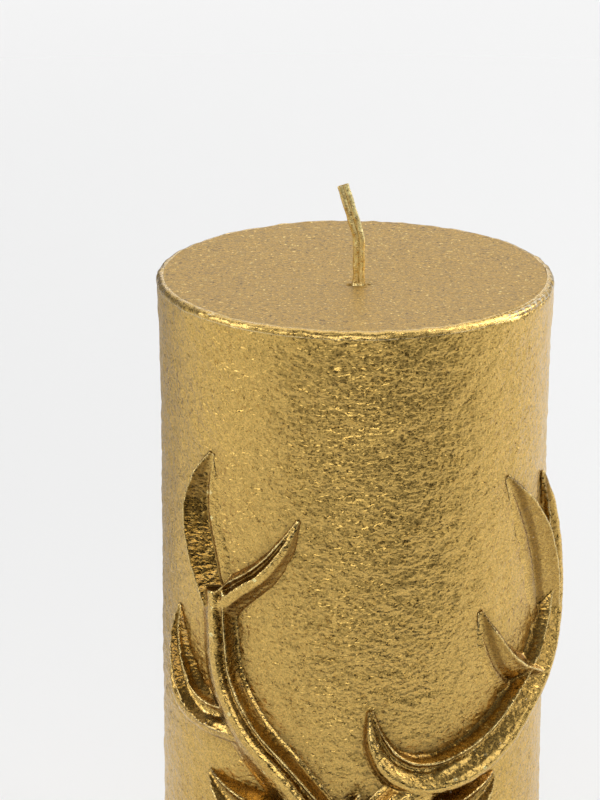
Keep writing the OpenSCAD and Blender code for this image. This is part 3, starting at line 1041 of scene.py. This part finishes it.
class CANDLE_OT_stag_head(bpy.types.Operator):
    """Builds the stag's head: skull, muzzle, brows, eyes, nostrils and mouth"""

    bl_idname = "candle.stag_head"
    bl_label = "Stag head"

    def execute(self, context):
        parts = limb((-3.4, 58.5, 1.2, 3.0), (3.4, 58.5, 1.2, 3.0), 4)
        parts += limb((0, 58, 1.4, 3.4), (0, 48, 2.6, 3.6), 6)
        parts += limb((0, 48, 2.6, 3.4), (0, 37, 4.2, 2.9), 8)
        parts += limb((0, 37, 4.2, 2.9), (0, 32.4, 5.0, 2.6), 4)
        parts += limb((0, 46, 0.6, 4.4), (0, 33, 2.0, 3.2), 7)
        parts += limb((0, 33, 2.2, 2.8), (0, 29.4, 2.3, 2.2), 3)
        for side in (-1, 1):
            parts += limb((side * 3.9, 59.6, 1.3, 2.7), (side * 5.3, 61.8, 1.2, 2.6), 3)
            parts += limb((side * 6.2, 53.6, 1.9, 1.7), (side * 3.0, 51.6, 4.0, 1.6), 5)
            parts += limb((side * 6.4, 47.6, 0.6, 2.6), (side * 3.6, 39.0, 2.2, 2.2), 6)
            parts += limb((side * 6.8, 51.6, 0.2, 2.6), (side * 5.2, 57.4, 0.2, 2.4), 4)
            parts += limb((side * 3.6, 57.4, 1.6, 2.7), (side * 4.4, 53.8, 2.0, 2.3), 3)
            parts += limb((side * 1.9, 33.9, 5.2, 1.9), (side * 1.5, 32.0, 5.1, 1.7), 2)
        head = melted("stag_head_cast", parts, soften=10)
        eyes = []
        for side in (-1, 1):
            eyes.append(ball(side * 5.2, 49.9, 3.9, (1.55, 1.3, 1.2), turn=side * 18))
            lid = [(side * 7.2, 49.8, 2.9, 0.5), (side * 5.6, 51.4, 4.4, 0.62), (side * 3.2, 50.2, 5.2, 0.5)]
            under = [(side * 7.2, 49.8, 2.9, 0.45), (side * 5.4, 48.4, 3.9, 0.5)]
            under.append((side * 3.2, 50.2, 5.2, 0.45))
            for fold in (lid, under):
                eyes += limb(fold[0], fold[1], 4) + limb(fold[1], fold[2], 4)
        head = melted("stag_head_cast", [*eyes, head], soften=2)

        marks = []
        for side in (-1, 1):
            marks.append((side * 1.75, 32.5, 0.85, 0.62, 1.5))  # nostril
            marks.append((side * 4.1, 36.2, 0.8, 2.6, 0.4))  # hollow beside the nose
            marks.append((side * 5.0, 43.4, 1.4, 2.4, 0.5))  # hollow of the cheek
        marks.append((0, 31.2, 0.28, 1.3, 0.5))  # cleft under the nose

        def detail(place):
            """Sinks the marks, eye rims and mouth, and combs short fur into the rest."""
            x, y = place.x / MM, place.y / MM
            depth = 0.0
            for mark_x, mark_y, wide, high, deep in marks:
                away = math.hypot((x - mark_x) / wide, (y - mark_y) / high)
                depth += deep * swell(away, 0, 1.6)
            eye = math.hypot((abs(x) - 5.1) / 1.25, (y - 50.0) / 0.95)
            depth += 0.75 * swell(eye, 1.55, 0.5) - 0.55 * swell(eye, 0, 1.2)
            mouth = 29.9 + 0.10 * x * x
            if abs(x) < 4.2:
                depth += 0.55 * swell(y, mouth, 0.5)
            flow = noise.noise(Vector((x * 1.25 + 0.6 * math.sin(y * 0.4), y * 0.32, 2)))
            fine = noise.noise(Vector((x * 2.6 + 0.9 * math.sin(y * 0.5), y * 0.7, 9)))
            fur = ramp(y, 34.5, 38) * (1 - ramp(2.6 - eye, 0.0, 1.0))
            depth -= fur * (0.26 * flow + 0.10 * fine)
            if place.z <= 0.3 * MM:
                return place
            return Vector((place.x, place.y, place.z - depth * MM))

        shaped(head, detail)
        worked(head, "SMOOTH", factor=0.4, iterations=1)
        roughen(head, 0.7 * MM, 0.10 * MM)
        finished_relief(head, relief_finish(), "stag_head")
        return {"FINISHED"}


class CANDLE_OT_ears(bpy.types.Operator):
    """Builds the two ears, cupped, with hair inside and a ragged edge"""

    bl_idname = "candle.ears"
    bl_label = "Ears"

    def execute(self, context):
        finish = relief_finish()
        cup = [(-1.3, 0.02), (-1.08, 0.25), (-1.0, 0.8), (-0.86, 0.98), (-0.68, 0.72), (-0.4, 0.36)]
        cup += [(0.0, 0.28), (0.35, 0.36), (0.66, 0.72), (0.86, 0.92), (1.0, 0.6), (1.25, 0.03)]
        blade = [(8, 56.6, 4.6), (12.4, 58.3, 7.4), (17, 60.1, 7.6), (21.4, 62.0, 5.6), (25.4, 64.0, 3.2)]
        blade.append((28, 65.6, 0.8))
        for side, node_name in ((-1, "left_ear"), (1, "right_ear")):
            section = flipped(cup) if side > 0 else cup
            parts = [ridge([(side * x, y, width) for x, y, width in blade], section)]
            for i in range(5):
                low, high = 58.0 + 0.55 * i, 60.0 + 0.62 * i
                hair = [(side * (10.6 + 0.3 * i), low, 0.7)]
                hair.append((side * (14 + 0.7 * i), 0.5 * (low + high) + 0.5, 0.9))
                hair.append((side * (17.5 + 1.3 * i), high + 1.1, 0.3))
                parts.append(ridge(hair, ROUND, lift=0.85))
            ear = melted(f"{node_name}_cast", parts, soften=1)
            roughen(ear, 1.6 * MM, 0.22 * MM, 2)
            finished_relief(ear, finish, node_name)
        return {"FINISHED"}


class CANDLE_OT_fur(bpy.types.Operator):
    """Builds the forelock between the antlers and the ruff of the neck, lock by lock"""

    bl_idname = "candle.fur"
    bl_label = "Forelock and ruff"

    def execute(self, context):
        finish = relief_finish()
        self.make_forelock(finish)
        self.make_ruff(finish)
        return {"FINISHED"}

    def make_forelock(self, finish):
        """A tuft of four locks, each given as (x, lean, rise, width)."""
        tuft = ((-1.5, -1.3, 7, 2.4), (1.6, 1.5, 7.6, 2.4), (0.2, 0.9, 9.6, 2.8), (-0.7, 0.2, 8.2, 2.2))
        root = 56.4
        locks = []
        for x, lean, rise, width in tuft:
            path = [(x, root, width), (x + 0.2 * lean, root + 0.45 * rise, width * 0.95)]
            path.append((x + 0.6 * lean, root + 0.8 * rise, width * 0.6))
            path.append((x + 1.3 * lean, root + rise + 0.8, 0.5))
            locks.append(ridge(path, STRAND, lift=1.9))
        locks += limb((0, 56.2, 0.6, 2.2), (0.3, 60.5, 0.4, 1.7), 3)
        forelock = melted("forelock_cast", locks, soften=1)
        roughen(forelock, 0.8 * MM, 0.12 * MM)
        finished_relief(forelock, finish, "forelock")

    def make_ruff(self, finish):
        """Seven rows of locks over a low mound, each row hanging over the one below."""
        bed = [(0, 54, 16), (0, 45, 23), (0, 30, 29), (0, 17, 31), (0, 10, 22)]
        mound = [(x, 0.09 * y) for x, y in ROUND]
        parts = [ridge(bed, mound)]
        for row in range(7):
            y = 51.5 - 6.0 * row
            reach = 7.4 + 1.35 * row - 2.2 * max(row - 5, 0)
            count = 4 + (row + 1) // 2
            for i in range(count):
                side = 2 * (i + 0.5) / count - 1 + 0.25 * math.sin(3.0 * row + i) / count
                x = side * reach * 1.12
                drop = 11.0 + 1.8 * math.sin(1.7 * i + 2.3 * row)
                start = y - 2.6 * side * side
                sway = 1.1 * math.sin(2.1 * i + row)
                width = 4.5 + 0.6 * math.cos(1.3 * i + row)
                over = 1.7 - 0.12 * row - 0.9 * side * side
                path = [(x * 0.92, start, width * 0.75, over - 0.4)]
                path.append((x + 0.3 * sway, start - 0.36 * drop, width, over))
                path.append((x * 1.05 + sway, start - 0.72 * drop, width * 0.7, over + 0.1))
                path.append((x * 1.08 + 1.6 * sway, start - drop, 0.6, over + 0.2))
                parts.append(ridge(path, STRAND))
        ruff = melted("neck_ruff_cast", parts, grain=0.26 * MM, soften=1)
        roughen(ruff, 0.9 * MM, 0.14 * MM)
        shaped(ruff, lambda place: Vector((place.x, max(place.y, 4 * MM), place.z)))
        finished_relief(ruff, finish, "neck_ruff")


class CANDLE_OT_core(bpy.types.Operator):
    """Gives the cast wax, the wick's tab and the wax over it their finishes"""

    bl_idname = "candle.core"
    bl_label = "Wax core and tab"

    def execute(self, context):
        wax = wax_finish()
        for name, finish in (("wax_core", wax), ("tab_seal", wax), ("wick_tab", tin_finish())):
            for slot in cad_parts[name].material_slots:
                slot.material = finish
        return {"FINISHED"}


# ---------- studio ----------


class CANDLE_OT_stage(bpy.types.Operator):
    """Builds the pale floor, the soft lights and the camera"""

    bl_idname = "candle.stage"
    bl_label = "Studio"

    def execute(self, context):
        self.make_floor()
        self.make_cards()
        self.make_backdrop()
        self.make_world()
        self.make_lights()
        self.make_camera()
        return {"FINISHED"}

    def make_floor(self):
        """The pale floor that the candle stands on."""
        clear_selection()
        bpy.ops.mesh.primitive_circle_add(
            vertices=96, radius=FLOOR_RADIUS, fill_type="NGON", location=(0, 0, 0)
        )
        floor = named("studio_floor")
        finish, _, shader, _ = new_finish("pale_floor")
        shader.inputs["Base Color"].default_value = solid(looks().floor)
        shader.inputs["Roughness"].default_value = 0.9
        shader.inputs["Specular IOR Level"].default_value = 0.1
        floor.data.materials.append(finish)

    def make_world(self):
        """Faint, even light from all round, and plain colours."""
        world = bpy.data.worlds.new("studio")
        world.use_nodes = True
        background = world.node_tree.nodes["Background"]
        background.inputs["Color"].default_value = (1, 1, 1, 1)
        background.inputs["Strength"].default_value = 0.22
        bpy.context.scene.world = world
        bpy.context.scene.view_settings.view_transform = "Standard"

    def make_cards(self):
        """Dark cards seen only in reflections, to shade the middle and the left edge of the candle."""
        for name, place, turn, size, grey in (
            ("front_card", (0.048, -0.25, 0.06), 14, (0.73, 0.12), 0.02),
            ("left_rear_card", (-0.112, 0.158, 0.065), 35, (0.18, 0.13), 0.5),
        ):
            felt, _, shader, _ = new_finish(f"{name}_felt")
            shader.inputs["Base Color"].default_value = (grey, grey, grey, 1)
            shader.inputs["Roughness"].default_value = 1.0
            clear_selection()
            bpy.ops.mesh.primitive_plane_add(size=1)
            card = named(name)
            card.scale = (*size, 1)
            card.rotation_euler = (math.radians(90), 0, math.radians(turn))
            card.location = place
            settle(card)
            card.data.materials.append(felt)
            card.visible_camera = False
            card.visible_diffuse = False
            card.visible_shadow = False

    def make_backdrop(self):
        """A pale wall seen only by the camera.

        Its base lies just over the floor, and its glow fades out towards the candle to hide the horizon.
        """
        clear_selection()
        bpy.ops.mesh.primitive_cylinder_add(
            vertices=96, radius=WALL_RADIUS, depth=WALL_HEIGHT, location=(0, 0, WALL_HEIGHT / 2 + MM)
        )
        wall = named("studio_wall")
        pale, tree, shader, place = new_finish("pale_wall")
        shader.inputs["Base Color"].default_value = (0, 0, 0, 1)
        shader.inputs["Emission Color"].default_value = solid(looks().floor)
        shader.inputs["Emission Strength"].default_value = 1.0
        level = node(tree, "ShaderNodeVectorMath", {0: place, 1: (1, 1, 0)}, operation="MULTIPLY").outputs[0]
        away = node(tree, "ShaderNodeVectorMath", {0: level}, operation="LENGTH").outputs["Value"]
        fade_start, fade_end = 0.3, 1.0
        tree.links.new(spread(tree, away, fade_start, fade_end), shader.inputs["Alpha"])
        wall.data.materials.append(pale)
        wall.visible_diffuse = False
        wall.visible_glossy = False
        wall.visible_shadow = False

    def make_lights(self):
        """Softboxes, each given as name, place, size and power, turned to the candle's middle."""
        candle = Vector((0, 0, 0.09))
        softboxes = (
            ("overhead", (-0.15, 0.75, 1.6), (1.8, 1.4), 9),
            ("front", (-0.15, -1.1, 0.47), (0.9, 0.36), 3.5),
            ("left", (-1.25, -0.35, 0.75), (0.6, 1.0), 6.5),
            ("right", (1.15, -0.75, 0.7), (0.5, 0.9), 2.6),
            ("right_rear", (1.0, 0.5, 0.62), (0.45, 0.6), 4.0),
            ("right_high", (0.94, 0.15, 1.02), (0.32, 1.2), 6.0),
            ("back", (0.2, 1.5, 0.7), (1.4, 0.6), 3),
        )
        for name, place, size, power in softboxes:
            clear_selection()
            bpy.ops.object.light_add(type="AREA", location=place)
            box = bpy.context.object
            box.name = f"{name}_softbox"
            box.data.shape = "RECTANGLE"
            box.data.size, box.data.size_y = size
            box.data.energy = power
            box.visible_camera = False
            aim = candle - Vector(place)
            box.rotation_euler = aim.to_track_quat("-Z", "Y").to_euler()

    def make_camera(self):
        """A long lens, a little above the candle and looking down on it."""
        clear_selection()
        bpy.ops.object.camera_add(location=CAMERA_PLACE)
        camera = bpy.context.object
        camera.data.lens = CAMERA_LENS
        camera.data.sensor_width = 36
        camera.data.clip_start = 0.01
        ahead = CAMERA_AHEAD.normalized()
        right = CAMERA_RIGHT.normalized()
        up = right.cross(ahead)
        turn = Matrix((right, up, -ahead)).transposed()
        camera.rotation_euler = turn.to_euler()
        bpy.context.scene.camera = camera


class CANDLE_PT_panel(bpy.types.Panel):
    """Lists the steps that build the candle"""

    bl_idname = "CANDLE_PT_panel"
    bl_label = "Relief pillar candle"
    bl_space_type = "VIEW_3D"
    bl_region_type = "UI"
    bl_category = "Candle"

    def draw(self, context):
        for step in STEPS:
            self.layout.operator(step.bl_idname)
        for group in (context.scene.candle_sizes, context.scene.candle_looks):
            box = self.layout.box()
            for key in group.__annotations__:
                box.prop(group, key)


STEPS = (
    CANDLE_OT_stage,
    CANDLE_OT_core,
    CANDLE_OT_side_skin,
    CANDLE_OT_rim_skin,
    CANDLE_OT_top_skin,
    CANDLE_OT_wick,
    CANDLE_OT_antlers,
    CANDLE_OT_stag_head,
    CANDLE_OT_ears,
    CANDLE_OT_fur,
)
CLASSES = (CandleSizes, CandleLooks, *STEPS, CANDLE_PT_panel)


def register():
    for group in CLASSES:
        bpy.utils.register_class(group)
    bpy.types.Scene.candle_sizes = bpy.props.PointerProperty(type=CandleSizes)
    bpy.types.Scene.candle_looks = bpy.props.PointerProperty(type=CandleLooks)


def unregister():
    del bpy.types.Scene.candle_looks
    del bpy.types.Scene.candle_sizes
    for group in reversed(CLASSES):
        bpy.utils.unregister_class(group)


def main():
    """Builds everything in order."""
    register()
    bpy.ops.candle.stage()
    bpy.ops.candle.core()
    bpy.ops.candle.side_skin()
    bpy.ops.candle.rim_skin()
    bpy.ops.candle.top_skin()
    bpy.ops.candle.wick()
    bpy.ops.candle.antlers()
    bpy.ops.candle.stag_head()
    bpy.ops.candle.ears()
    bpy.ops.candle.fur()


if __name__ == "__main__":
    main()
